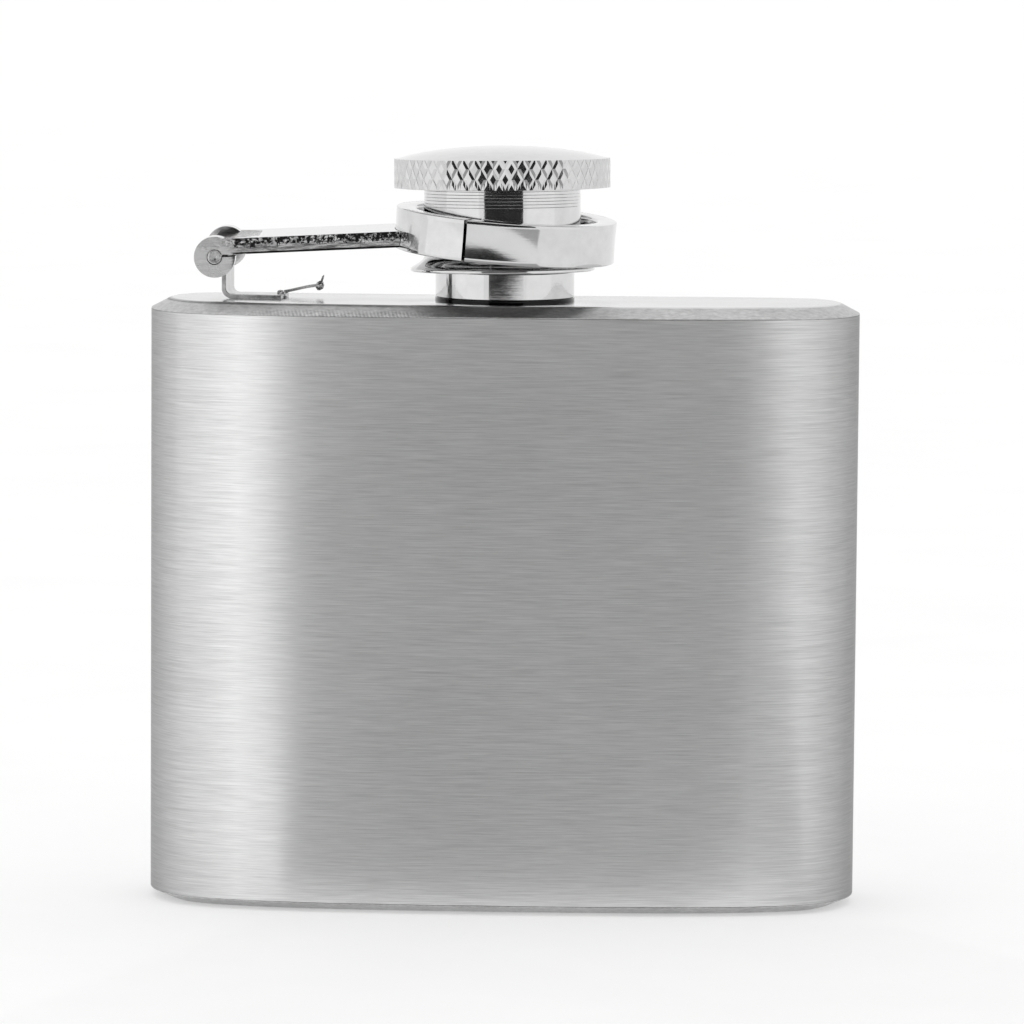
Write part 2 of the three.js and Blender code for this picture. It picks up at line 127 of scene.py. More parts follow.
def flask_tube(name, low, high):
    """An upright tube with the flask's plan: rounded, cut in strips, eased, and bowed."""
    block = add("cube", name, size=1, location=(0, 0, (low + high) / 2),
                scale=(BODY_WIDTH, BODY_DEPTH, high - low))
    pick("EDGE", lambda middle, edge: abs(edge.verts[0].co.z - edge.verts[1].co.z) > 0.05 * MM)
    bpy.ops.mesh.bevel(offset=END_RADIUS, segments=CORNER_SEGMENTS, profile=0.5)
    pick("FACE", lambda middle, face: abs(face.normal.z) > 0.9)
    bpy.ops.mesh.delete(type="ONLY_FACE")
    pick("EDGE", lambda middle, edge: abs(edge.verts[0].co.x - edge.verts[1].co.x) > END_RADIUS)
    bpy.ops.mesh.subdivide(number_cuts=STRIP_CUTS)
    pick("VERT", lambda place, corner: EASED_FROM < abs(place.x) < EASED_TO)
    bpy.ops.mesh.vertices_smooth(factor=0.5, repeat=EASINGS, zaxis=False)
    pick("VERT", lambda place, corner: abs(place.x) > FLAT_HALF)
    bpy.ops.mesh.vertices_smooth(factor=0.5, repeat=LAST_EASINGS, zaxis=False)
    wide = 2 * max(corner.co.x for corner in bmesh.from_edit_mesh(block.data).verts)
    bpy.ops.transform.resize(value=(BODY_WIDTH / wide, 1, 1), center_override=(0, 0, 0))
    pick("VERT", lambda place, corner: abs(place.x) < 0.1 * MM)
    bpy.ops.transform.translate(
        value=(0, -BODY_BOW, 0), use_proportional_edit=True,
        proportional_edit_falloff="INVERSE_SQUARE", proportional_size=BODY_WIDTH / 2)
    bpy.ops.mesh.select_all(action="SELECT")
    bpy.ops.transform.translate(value=(0, BODY_BOW / 2, 0))
    return block


body_shell = flask_tube("flask_body", BASE_SEAM, TOP_SEAM)
apply(body_shell, "SOLIDIFY", thickness=SHELL_WALL, offset=-1, use_even_offset=True)
soften(body_shell, SHELL_EDGE, angle=60)
smooth(body_shell)


class Finish:
    """A new material whose nodes are added one by one and linked by name."""

    def __init__(self, name, **surface):
        self.material = bpy.data.materials.new(name)
        self.material.use_nodes = True
        self.tree = self.material.node_tree
        self.shader = self.tree.nodes["Principled BSDF"]
        for socket, value in surface.items():
            self.shader.inputs[socket.replace("_", " ")].default_value = value

    def node(self, kind, inputs=None, **settings):
        node = self.tree.nodes.new(f"ShaderNode{kind}")
        for setting, value in settings.items():
            setattr(node, setting, value)
        for socket, value in (inputs or {}).items():
            if isinstance(value, bpy.types.NodeSocket):
                self.tree.links.new(value, node.inputs[socket])
            else:
                node.inputs[socket].default_value = value
        return node

    def grain(self, stretch, turn=(0, 0, 0), centre=(0, 0, 0), **noise):
        """Noise on the piece's own place, stretched: cells per metre along X, Y and Z."""
        place = self.node("TexCoord").outputs["Object"]
        laid = self.node("Mapping", {"Vector": place, "Location": centre, "Rotation": turn},
                         vector_type="TEXTURE")
        scaled = self.node("VectorMath", {0: laid.outputs[0], 1: stretch}, operation="MULTIPLY")
        settings = {"Scale": 1.0, "Detail": 3.0, "Roughness": 0.6}
        settings.update(noise)
        return self.node("TexNoise", {"Vector": scaled.outputs[0], **settings}).outputs["Fac"]

    def spread(self, value, low, high, start=0.3, end=0.7):
        """Spread a 0 to 1 pattern between two values."""
        return self.node("MapRange", {"Value": value, "From Min": start, "From Max": end,
                                      "To Min": low, "To Max": high}).outputs["Result"]

    def reckon(self, operation, first, second):
        """One step of arithmetic on patterns or numbers."""
        return self.node("Math", {0: first, 1: second}, operation=operation).outputs[0]

    def times(self, first, *others):
        for other in others:
            first = self.reckon("MULTIPLY", first, other)
        return first

    def plus(self, first, second):
        return self.reckon("ADD", first, second)

    def minus(self, first, second):
        return self.reckon("SUBTRACT", first, second)

    def rise(self, value, start, end):
        """0 before the start, 1 past the end."""
        return self.spread(value, 0.0, 1.0, start, end)

    def fall(self, value, start, end):
        """1 before the start, 0 past the end."""
        return self.spread(value, 1.0, 0.0, start, end)

    def place(self):
        """The X, Y and Z of the piece's own place."""
        return self.node("SeparateXYZ", {0: self.node("TexCoord").outputs["Object"]}).outputs

    def grey(self, value):
        colour = self.node("CombineColor", {"Red": value, "Green": value, "Blue": value})
        self.tree.links.new(colour.outputs[0], self.shader.inputs["Base Color"])

    def rough(self, value):
        self.tree.links.new(value, self.shader.inputs["Roughness"])

    def relief(self, *layers):
        """Bumps one on another, each a pattern and its height in metres."""
        normal = None
        for pattern, height in layers:
            inputs = {"Height": pattern, "Strength": 1.0, "Distance": height}
            if normal:
                inputs["Normal"] = normal
            normal = self.node("Bump", inputs).outputs["Normal"]
        self.tree.links.new(normal, self.shader.inputs["Normal"])

    def along(self):
        """Lay the stretched highlight round the upright axis, as the brushing runs."""
        tangent = self.node("Tangent", direction_type="RADIAL", axis="Z")
        self.tree.links.new(tangent.outputs[0], self.shader.inputs["Tangent"])


brushed = Finish("brushed_steel", Metallic=1.0, Anisotropic=0.9, Anisotropic_Rotation=0.25,
                 Specular_Tint=(0.62, 0.62, 0.62, 1))
brushed.along()
long_lines = brushed.grain((200, 200, 11000), Detail=3.0, Roughness=0.7)
short_lines = brushed.grain((400, 400, 16000), Detail=2.0)
clouding = brushed.grain((60, 60, 60), Detail=2.0)
across = brushed.place()["X"]
# Painted shade: the base colour darkens towards both rounded ends, more at the right end.
painted_end_shade = brushed.times(brushed.spread(across, 0.6, 1.0, -34 * MM, -26 * MM),
                       brushed.spread(across, 1.0, 0.5, 25 * MM, 34.5 * MM))
lined = brushed.plus(brushed.spread(long_lines, 0.72, 1.0),
                     brushed.spread(clouding, -0.03, 0.03))
brushed.grey(brushed.times(painted_end_shade, lined))
brushed.rough(brushed.spread(short_lines, 0.36, 0.46))
brushed.relief((long_lines, 0.0030 * MM), (short_lines, 0.0014 * MM))
body_shell.data.materials.append(brushed.material)
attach(body_shell, "flask")
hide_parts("body_shell")

# ---- Top and base plates -------------------------------------------------------------------------
# Two pressings of 0.8 mm stainless with a bevelled rim, welded round the shell's ends and ground
# flush. The top one has a round hole for the neck, and keeps the weld's ripples at its front left.
RIM_BEVEL = 2 * MM
RIM_STEP = 0.1 * MM
RIM_BEND = 0.22 * MM
PLATE_EDGE = 0.05 * MM
NECK_HOLE = 6.25 * MM
WELD_PITCH = 0.37 * MM
NEAR = 0.01 * MM


def pressed_plate(name, seam, face):
    """A plate from its seam with the shell to its flat face."""
    up = 1 if face > seam else -1
    edge_high = seam + up * RIM_STEP
    plate = flask_tube(name, min(seam, edge_high), max(seam, edge_high))
    for end in (seam, edge_high):
        pick("EDGE", lambda middle, edge: abs(middle.z - end) < NEAR)
        bpy.ops.mesh.edge_face_add()
    close_mesh()
    pick("FACE", lambda middle, part: part.normal.z * up > 0.9)
    bpy.ops.mesh.inset(thickness=RIM_BEVEL, use_even_offset=True, depth=0)
    bpy.ops.transform.translate(value=(0, 0, face - edge_high))
    pick("EDGE", lambda middle, edge: abs(middle.z - face) < NEAR
         and any(abs(side.normal.z) < 0.95 for side in edge.link_faces))
    bpy.ops.mesh.bevel(offset=RIM_BEND, segments=3)
    return plate


base_plate = pressed_plate("flask_base", BASE_SEAM, 0)
soften(base_plate, PLATE_EDGE, angle=50)
smooth(base_plate, 12)

top_plate = pressed_plate("flask_top", TOP_SEAM, TOP)
punch = add("cylinder", "punch", vertices=96, radius=NECK_HOLE, depth=6 * MM,
            location=(0, 0, TOP))
apply(top_plate, "BOOLEAN", object=punch, operation="DIFFERENCE", solver="EXACT")
bpy.data.objects.remove(punch)
soften(top_plate, PLATE_EDGE, angle=50)
smooth(top_plate, 12)

polished_plate = Finish("polished_plate", Metallic=1.0, Anisotropic=0.6, Anisotropic_Rotation=0.0)
plate_lines = polished_plate.grain((150, 5000, 5000), Detail=3.0)
plate_clouds = polished_plate.grain((250, 250, 250), Detail=3.0)
axes = polished_plate.place()
rim = polished_plate.fall(axes["Z"], TOP - 0.14 * MM, TOP - 0.06 * MM)
# Painted reflection: a dark band along the rim's bend on the left part of the top.
painted_bend_reflection = polished_plate.times(polished_plate.rise(axes["Z"], TOP - 0.26 * MM, TOP - 0.16 * MM),
                            polished_plate.fall(axes["Z"], TOP - 0.04 * MM, TOP - 0.01 * MM),
                            polished_plate.fall(axes["X"], -12 * MM, -6 * MM))
ground = polished_plate.grain((1500, 2500, 4500), Detail=4.0, Roughness=0.7)
slant = polished_plate.plus(polished_plate.times(axes["X"], tau / WELD_PITCH),
                            polished_plate.times(axes["Z"], tau / (2.2 * WELD_PITCH)))
broken = polished_plate.spread(polished_plate.grain((1800, 1800, 1800)), -1.6, 1.0)
ripple = polished_plate.plus(polished_plate.reckon("SINE", slant, 0), broken)
weld = polished_plate.times(
    polished_plate.times(
        polished_plate.fall(axes["Z"], TOP_SEAM + 0.35 * MM, TOP_SEAM + 0.7 * MM),
        polished_plate.rise(axes["Z"], TOP_SEAM - 0.1 * MM, TOP_SEAM)),
    polished_plate.times(polished_plate.rise(axes["X"], -26 * MM, -21 * MM),
                         polished_plate.fall(axes["X"], -10 * MM, -6 * MM)))
# The weld ripples are bumps, and their colour is also painted lighter and darker along the ripples
# as glints.
weld_ripples_and_glints = polished_plate.times(weld, ripple)
rim_shade = polished_plate.times(rim, polished_plate.spread(ground, 0.26, 0.04))
# Painted glints along the weld ripples and a painted dark reflection along the rim's bend.
weld_glints_and_bend_reflection = polished_plate.minus(polished_plate.times(weld_ripples_and_glints, 0.09),
                             polished_plate.times(painted_bend_reflection, 0.30))
polish = polished_plate.minus(polished_plate.spread(plate_clouds, 0.62, 0.72), rim_shade)
polished_plate.grey(polished_plate.plus(weld_glints_and_bend_reflection, polish))
polished_plate.rough(polished_plate.plus(polished_plate.spread(plate_clouds, 0.14, 0.24),
                                         polished_plate.times(rim, 0.16)))
polished_plate.relief((polished_plate.times(rim, ground), 0.012 * MM),
                      (weld_ripples_and_glints, 0.008 * MM), (plate_lines, 0.0010 * MM))
for plate, node in ((top_plate, "top_plate"), (base_plate, "base_plate")):
    plate.data.materials.append(polished_plate.material)
    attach(plate, "flask")
    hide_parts(node)

# ---- Neck ----------------------------------------------------------------------------------------
# A short tube turned from stainless bar: a spigot welded into the top plate, its foot painted
# near black as shade up to a small groove above the plate, a plain shoulder, and a rolled thread
# above it for the cap.
NECK_ROOT = 5.85  # in millimetres, as in the turned profile
THREAD_PITCH = 1.5 * MM
THREAD_ROUND = 0.42 * MM
GROOVE_SHADOW_LOW = TOP + 0.34 * MM
GROOVE_SHADOW_HIGH = TOP + 0.42 * MM


def turn(name, rings, segments=128):
    """A turned piece, pulled up ring by ring: radius and height in millimetres."""
    radius, height = rings[0]
    piece = add("circle", name, vertices=segments, radius=radius * MM,
                location=(0, 0, height * MM), fill_type="NOTHING")
    for next_radius, next_height in rings[1:]:
        bpy.ops.mesh.extrude_region_move(
            TRANSFORM_OT_translate={"value": (0, 0, (next_height - height) * MM)})
        share = next_radius / radius
        bpy.ops.transform.resize(value=(share, share, 1))
        radius, height = next_radius, next_height
    return piece


def seat(piece, place, turned=(0, 0, 0)):
    """Turn a piece as it hangs, and put it in its place for good."""
    take(piece)
    piece.rotation_mode = "ZYX"
    piece.location = place
    piece.rotation_euler = turned
    bpy.ops.object.transform_apply(location=True, rotation=True, scale=True)


def thread(name, root, depth, low, high):
    """A rolled thread: a small ridge swept up a helix and merged into the wall at its root."""
    ridge = add("circle", name, vertices=6, radius=THREAD_ROUND, location=(root, 0, low),
                rotation=(pi / 2, 0, 0), fill_type="NGON")
    bpy.ops.mesh.select_all(action="SELECT")
    bpy.ops.transform.resize(value=(depth / THREAD_ROUND, 1, 1), center_override=(root, 0, low))
    apply(ridge, "SCREW", angle=tau, screw_offset=THREAD_PITCH,
          iterations=max(1, round((high - low) / THREAD_PITCH)), steps=64, render_steps=64,
          axis="Z", use_merge_vertices=False, use_smooth_shade=True)
    bpy.ops.object.mode_set(mode="EDIT")
    bpy.ops.mesh.select_all(action="SELECT")
    bpy.ops.mesh.fill_holes(sides=8)
    close_mesh()
    return ridge


def join(piece, *parts):
    """Make the parts one with the piece, which has no material yet."""
    take(piece, *parts)
    bpy.ops.object.join()
    piece.data.materials.clear()


neck = turn("neck", [
    (5.0, -1.6), (6.2, -1.6), (6.2, 0.0), (6.98, 0.0), (6.98, 0.3), (6.86, 0.36), (6.95, 0.44),
    (6.95, 2.9), (6.88, 2.98), (6.8, 3.0), (5.95, 3.0), (NECK_ROOT, 3.1), (NECK_ROOT, 9.15),
    (5.7, 9.35), (5.5, 9.4), (5.2, 9.4), (5.05, 9.35), (5.0, 9.2), (5.0, -1.6)])
close_mesh()
seat(neck, (0, 0, TOP))
neck_thread = thread("neck_thread", NECK_ROOT * MM, 0.4 * MM, 3.9 * MM, 8.6 * MM)
seat(neck_thread, (0, 0, TOP))
join(neck, neck_thread)
smooth(neck)

chrome = Finish("polished_chrome", Metallic=1.0)
turning = chrome.grain((200, 200, 9000), Detail=2.0)
haze = chrome.grain((500, 500, 500), Detail=3.0)
# Painted shade: the neck is painted near black from its foot up to the small groove above the
# plate.
painted_groove_shadow = chrome.spread(chrome.place()["Z"], 0.03, 1.0, GROOVE_SHADOW_LOW, GROOVE_SHADOW_HIGH)
chrome.grey(chrome.times(painted_groove_shadow, chrome.spread(haze, 0.61, 0.69)))
chrome.rough(chrome.spread(haze, 0.05, 0.10))
chrome.relief((turning, 0.0006 * MM), (haze, 0.0030 * MM))
neck.data.materials.append(chrome.material)
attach(neck, "flask")
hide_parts("neck_tube")

# ---- Cap head ------------------------------------------------------------------------------------
# A turned disc of chromed steel with a low dome. Its band is rolled with a diamond knurl: flat
# diamonds between crossing V grooves, cut off square at the top and the bottom of the band.
CAP_PLACE = (-0.2 * MM, 0, TOP)
CAP_TURN = (radians(-1.2), radians(-0.7), 0)
BAND_RADIUS = 10.8 * MM
BAND_LOW = 11.2 * MM
BAND_HIGH = 14.15 * MM
KNURL_COUNT = 56
KNURL_ROWS = 5
KNURL_START = -0.4
KNURL_HEIGHT = 2.08 * MM
KNURL_DEPTH = 0.10 * MM
KNURL_LAND = 0.26 * MM
KNURL_GAP = 0.03 * MM
BAND_INSIDE = 10.3 * MM
BAND_TUCK = 0.965

head = turn("cap_head_disc", [
    (7.0, 12.2), (7.0, 11.2), (7.2, 11.2), (7.2, 12.2), (7.88, 12.2), (7.88, 11.2), (10.4, 11.2),
    (10.5, 11.3), (10.5, 14.1), (10.68, 14.15), (10.3, 14.24), (9.3, 14.49), (8.0, 14.77),
    (6.5, 15.0), (4.8, 15.19), (3.0, 15.32), (1.4, 15.385), (0.4, 15.4)])
bpy.ops.mesh.merge(type="CENTER")
pick("EDGE", lambda middle, edge: edge.is_boundary)
bpy.ops.mesh.edge_face_add()
close_mesh()
seat(head, CAP_PLACE, CAP_TURN)

step = tau / KNURL_COUNT
knurl = add("circle", "knurl", vertices=4, radius=1, fill_type="NGON",
            location=(BAND_RADIUS - KNURL_DEPTH, 0, 0), rotation=(0, pi / 2, 0),
            scale=(KNURL_HEIGHT / 2, (BAND_RADIUS - KNURL_DEPTH) * tan(step / 2), 1))
bpy.ops.mesh.select_all(action="SELECT")
bpy.ops.mesh.inset(thickness=KNURL_LAND, depth=0)
pick("FACE", lambda middle, face: len(face.verts) == 4
     and abs(middle.y) + abs(middle.z) < NEAR)
bpy.ops.transform.translate(value=(KNURL_DEPTH, 0, 0))
bpy.ops.object.mode_set(mode="OBJECT")
for count, angle, climb in ((KNURL_COUNT, step, 0), (KNURL_ROWS, step / 2, KNURL_HEIGHT / 2)):
    pace = bpy.data.objects.new("pace", None)
    bpy.context.scene.collection.objects.link(pace)
    pace.rotation_euler = (0, 0, angle)
    pace.location = (0, 0, climb)
    bpy.context.view_layer.update()
    apply(knurl, "ARRAY", count=count, use_relative_offset=False, use_object_offset=True,
          offset_object=pace, use_merge_vertices=True, merge_threshold=KNURL_GAP)
    bpy.data.objects.remove(pace)
bpy.ops.object.mode_set(mode="EDIT")
bpy.ops.mesh.select_all(action="SELECT")
bpy.ops.transform.translate(value=(0, 0, BAND_LOW - 1.0 * MM))
bpy.ops.mesh.remove_doubles(threshold=KNURL_GAP)
for height, up in ((BAND_LOW, -1), (BAND_HIGH, 1)):
    bpy.ops.mesh.select_all(action="SELECT")
    bpy.ops.mesh.bisect(plane_co=(0, 0, height), plane_no=(0, 0, up), clear_outer=True)
for height in (BAND_LOW, BAND_HIGH):
    pick("EDGE", lambda middle, edge: edge.is_boundary and abs(middle.z - height) < NEAR
         and hypot(middle.x, middle.y) > BAND_INSIDE)
    bpy.ops.mesh.extrude_region_move()
    bpy.ops.transform.resize(value=(BAND_TUCK, BAND_TUCK, 1), center_override=(0, 0, height))
pick("EDGE", lambda middle, edge: edge.is_boundary)
bpy.ops.mesh.bridge_edge_loops()
close_mesh()
seat(knurl, CAP_PLACE, (*CAP_TURN[:2], KNURL_START * step))
join(head, knurl)
smooth(head, 20)

satin_chrome = Finish("satin_chrome", Metallic=1.0)
satin_haze = satin_chrome.grain((900, 900, 900), Detail=3.0)
satin_chrome.grey(satin_chrome.spread(satin_haze, 0.59, 0.65))
satin_chrome.rough(satin_chrome.spread(satin_haze, 0.06, 0.14))
satin_chrome.relief((satin_haze, 0.0009 * MM))
head.data.materials.append(satin_chrome.material)
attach(head, "cap")
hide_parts("cap_head")

# ---- Cap sleeve ----------------------------------------------------------------------------------
# A thin drawn sleeve pressed into the head, with fine turned grooves below it. Its inside carries
# the thread, and its lower end is flared out so that the swivel ring can't drop off.
SLEEVE_RADIUS = 7.83  # in millimetres, as in the turned profile
SLEEVE_BORE = 7.25
GROOVES = (9.39, 9.71, 10.03, 10.35, 10.67, 10.99)
GROOVE_HALF = 0.03
GROOVE_DEPTH = 0.02

sleeve = turn("cap_sleeve_tube", [
    (8.6, 2.92), (9.06, 2.92), (9.15, 2.95), (9.2, 3.02), (9.21, 3.1), (9.2, 3.2), (9.15, 3.29),
    (9.0, 3.42), (8.7, 3.6), (8.4, 3.78), (8.15, 3.96), (7.97, 4.15), (7.87, 4.33),
    (SLEEVE_RADIUS, 4.5), (SLEEVE_RADIUS, 9.1),
    *(ring for groove in GROOVES for ring in (
        (SLEEVE_RADIUS, groove - GROOVE_HALF), (SLEEVE_RADIUS - GROOVE_DEPTH, groove),
        (SLEEVE_RADIUS, groove + GROOVE_HALF))),
    (SLEEVE_RADIUS, 12.1), (SLEEVE_BORE, 12.1), (SLEEVE_BORE, 4.5), (7.4, 4.1), (8.0, 3.5),
    (8.6, 2.92)])
close_mesh()
seat(sleeve, CAP_PLACE, CAP_TURN)
sleeve_thread = thread("sleeve_thread", SLEEVE_BORE * MM, 0.25 * MM, 4.9 * MM, 9.2 * MM)
seat(sleeve_thread, CAP_PLACE, CAP_TURN)
join(sleeve, sleeve_thread)
smooth(sleeve, 22)
sleeve.data.materials.append(chrome.material)
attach(sleeve, "cap")
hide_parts("cap_sleeve")

# ---- Cap liner -----------------------------------------------------------------------------------
# A disc of soft white food-safe plastic, moulded with a low step round its underside. It is
# pressed up against the head inside the sleeve and seals on the neck's rim.
liner = turn("cap_liner_disc", [
    (0.5, 9.95), (4.9, 9.95), (5.1, 9.9), (5.9, 9.9), (6.1, 9.8), (7.0, 9.8), (7.15, 9.95),
    (7.15, 11.0), (7.05, 11.1), (0.5, 11.1)])
bpy.ops.mesh.merge(type="CENTER")
pick("EDGE", lambda middle, edge: edge.is_boundary)
bpy.ops.mesh.merge(type="CENTER")
close_mesh()
seat(liner, CAP_PLACE, CAP_TURN)
smooth(liner)
white_plastic = Finish("white_liner", Metallic=0.0)
mottle = white_plastic.grain((700, 700, 700), Detail=3.0)
white_plastic.grey(white_plastic.spread(mottle, 0.74, 0.82))
white_plastic.rough(white_plastic.spread(mottle, 0.45, 0.6))
white_plastic.relief((mottle, 0.01 * MM))
liner.data.materials.append(white_plastic.material)
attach(liner, "cap")
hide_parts("cap_liner")

# ---- Swivel ring ---------------------------------------------------------------------------------
# A strip of stainless rolled into a ring round the sleeve, with a thin slit where its ends meet.
# One end stays straight for its last few millimetres, and the outside is a little hollow across
# the strip, as bent strip is.
RING_BORE = 9 * MM
RING_RADIUS = 11.05 * MM
RING_BAND = 4.1 * MM
RING_HOLLOW = 0.05 * MM
RING_INNER_EDGE = 0.3 * MM
RING_OUTER_EDGE = 0.12 * MM
SLIT_AT = radians(251.4)
SLIT_HALF = radians(0.75)
STRAIGHT_END = radians(13)
STRAIGHT_RUN = 4  # in millimetres, more than is left after the slit is cut
RING_PLACE = (0, 0, TOP + 6.6 * MM)
RING_TURN = (radians(2), radians(4.1), 0)

ring = add("plane", "swivel_band", size=1, location=((RING_BORE + RING_RADIUS) / 2, 0, 0),
           rotation=(pi / 2, 0, 0), scale=(RING_RADIUS - RING_BORE, RING_BAND, 1))
pick("VERT", lambda place, corner: place.x < RING_BORE + 0.1 * MM)
bpy.ops.mesh.bevel(affect="VERTICES", offset=RING_INNER_EDGE, segments=3)
pick("VERT", lambda place, corner: place.x > RING_RADIUS - 0.1 * MM)
bpy.ops.mesh.bevel(affect="VERTICES", offset=RING_OUTER_EDGE, segments=3)
pick("EDGE", lambda middle, edge: middle.x > RING_RADIUS - NEAR
     and abs(edge.verts[0].co.z - edge.verts[1].co.z) > 3 * MM)
bpy.ops.mesh.subdivide(number_cuts=11)
pick("VERT", lambda place, corner: place.x > RING_RADIUS - NEAR and abs(place.z) < NEAR)
bpy.ops.transform.translate(
    value=(-RING_HOLLOW, 0, 0), use_proportional_edit=True, use_proportional_connected=True,
    proportional_edit_falloff="INVERSE_SQUARE", proportional_size=RING_BAND / 2)
end = SLIT_AT + STRAIGHT_END
seat(ring, (0, 0, 0), (0, 0, end))
bpy.ops.object.mode_set(mode="EDIT")
bpy.ops.mesh.select_all(action="SELECT")
start = Vector((sin(end), -cos(end), 0))
bpy.ops.mesh.extrude_region_move(TRANSFORM_OT_translate={"value": start * STRAIGHT_RUN * MM})
bpy.ops.mesh.select_all(action="SELECT")
cut = SLIT_AT + SLIT_HALF
bpy.ops.mesh.bisect(plane_co=(0, 0, 0), plane_no=(sin(cut), -cos(cut), 0), clear_outer=True,
                    use_fill=True)
pick("FACE", lambda middle, face: abs(face.normal.dot(start)) > 0.999
     and abs(middle.dot(start)) < NEAR)
bpy.ops.mesh.delete(type="ONLY_FACE")
pick("EDGE", lambda middle, edge: edge.is_boundary)
bpy.ops.mesh.spin(steps=150, angle=STRAIGHT_END + 2 * SLIT_HALF - tau, center=(0, 0, 0),
                  axis=(0, 0, 1))
bpy.ops.mesh.edge_face_add()
close_mesh()
seat(ring, RING_PLACE, RING_TURN)
smooth(ring, 40)
ring.data.materials.append(chrome.material)
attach(ring, "arm")
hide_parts("swivel_ring")

# ---- Hinge arm -----------------------------------------------------------------------------------
# A bar sheared from 1.6 mm stainless. Its left end is rolled under into two eyes with a slot
# between them for the bracket, and its right end is hollowed and welded to the swivel ring. Its
# front edge is torn along the upper half and streaked below, with a painted shadow as a dark line
# along its foot and painted shade in the torn band's pits.
HINGE_PLACE = (-28.8 * MM, 0, TOP + 4.42 * MM)
ARM_RISE = atan2(0.93, 17.75)
HINGE_TURN = (radians(2.8), -ARM_RISE, 0)
ARM_WIDTH = 8 * MM
ARM_LOW = 0.2 * MM
ARM_HIGH = 1.8 * MM
ARM_LENGTH = 18.8 * MM
EYE_RADIUS = 2.05 * MM
EYE_WIDTH = 1.6 * MM
EYE_BORE = 0.78 * MM
EYE_SPLIT = 0.26 * MM
ARM_EDGE = 0.07 * MM
WELD_GAP = 0.012 * MM
FAR_EYE = (0.7 * MM, 0.35 * MM)


def cutter(kind, **size):
    """A tool body for a cut or a union."""
    tool = add(kind, "tool", **size)
    bpy.ops.object.mode_set(mode="OBJECT")
    return tool


def work(piece, operation, tool):
    """Cut a piece with a tool body or unite the two, and take the tool away."""
    apply(piece, "BOOLEAN", object=tool, operation=operation, solver="EXACT")
    bpy.data.objects.remove(tool)


arm = add("cube", "hinge_bar", size=1, location=(ARM_LENGTH / 2, 0, (ARM_LOW + ARM_HIGH) / 2),
          scale=(ARM_LENGTH, ARM_WIDTH, ARM_HIGH - ARM_LOW))
bpy.ops.object.mode_set(mode="OBJECT")
eye_y = (ARM_WIDTH - EYE_WIDTH) / 2
work(arm, "UNION", cutter("cylinder", vertices=72, radius=EYE_RADIUS, depth=EYE_WIDTH,
                          location=(0, -eye_y, 0), rotation=(pi / 2, 0, 0)))
work(arm, "UNION", cutter("cylinder", vertices=72, radius=EYE_RADIUS, depth=EYE_WIDTH,
                          location=(FAR_EYE[0], eye_y, FAR_EYE[1]), rotation=(pi / 2, 0, 0)))
work(arm, "DIFFERENCE", cutter("cube", size=1, location=(0.4 * MM, 0, 0),
                               scale=(8 * MM, ARM_WIDTH - 2 * EYE_WIDTH, 9 * MM)))
work(arm, "DIFFERENCE", cutter("cylinder", vertices=48, radius=EYE_BORE, depth=12 * MM,
                               rotation=(pi / 2, 0, 0)))
work(arm, "DIFFERENCE", cutter("cube", size=1, location=(1.9 * MM, -eye_y, 0.1 * MM),
                               scale=(2.6 * MM, 3 * MM, EYE_SPLIT)))
soften(arm, ARM_EDGE, angle=40)
seat(arm, HINGE_PLACE, HINGE_TURN)
hollow = cutter("cylinder", vertices=160, radius=RING_RADIUS + WELD_GAP, depth=8 * MM)
seat(hollow, RING_PLACE, RING_TURN)
work(arm, "DIFFERENCE", hollow)
smooth(arm, 12)

sheared = Finish("sheared_steel", Metallic=1.0)
local = sheared.node("Mapping", {
    "Vector": sheared.node("TexCoord").outputs["Object"], "Location": HINGE_PLACE,
    "Rotation": HINGE_TURN}, vector_type="TEXTURE")
laid = sheared.node("SeparateXYZ", {0: local.outputs[0]}).outputs
end_face = sheared.fall(laid["Y"], -3.96 * MM, -3.9 * MM)
front = sheared.times(end_face, sheared.spread(laid["X"], 0.12, 1.0, 1.2 * MM, 2.8 * MM))
torn_line = sheared.grain((1700, 1700, 1700), Detail=2.0)
height = sheared.plus(laid["Z"], sheared.spread(torn_line, -0.3 * MM, 0.3 * MM))
torn = sheared.times(front, sheared.rise(height, 1.0 * MM, 1.1 * MM))
# Painted shadow: a dark line along the foot of the arm's front face.
painted_shadow_line = sheared.times(front, sheared.fall(laid["Z"], 0.36 * MM, 0.42 * MM),
                          sheared.rise(laid["X"], 1.6 * MM, 1.9 * MM))
chips = sheared.grain((3400, 3400, 3400), turn=HINGE_TURN, Detail=2.0, Roughness=0.7)
streaks = sheared.grain((500, 700, 5200), turn=HINGE_TURN, Detail=2.0)
scuffs = sheared.grain((500, 1500, 1500), Detail=3.0)
deep = sheared.times(torn, chips)
shallow = sheared.times(front, streaks)
clean = sheared.minus(sheared.spread(scuffs, 0.66, 0.78), sheared.times(
    front, sheared.spread(streaks, 0.45, 0.0, 0.38, 0.55)))
# Painted shade: the shadow line at the front face's foot and darker pits in the torn band.
shadow = sheared.plus(painted_shadow_line, sheared.times(torn, sheared.fall(chips, 0.46, 0.58)))
sheared.grey(sheared.reckon("MAXIMUM", 0.02, sheared.minus(clean, shadow)))
sheared.rough(sheared.plus(sheared.spread(scuffs, 0.08, 0.2), sheared.times(end_face, 0.1)))
sheared.relief((deep, 0.2 * MM), (shallow, 0.03 * MM), (scuffs, 0.0015 * MM))
arm.data.materials.append(sheared.material)
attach(arm, "arm")
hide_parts("hinge_arm")

# ---- Hinge pin -----------------------------------------------------------------------------------
# A soft steel rivet through both of the arm's eyes and the bracket's rolled end. Its ends are
# pressed over a little, which leaves a shallow dish in each and a rounded edge.
PIN_RADIUS = 0.7 * MM
PIN_LENGTH = 8.2 * MM
PIN_EDGE = 0.1 * MM
PIN_LIP = 0.16 * MM
PIN_DISH = 0.05 * MM

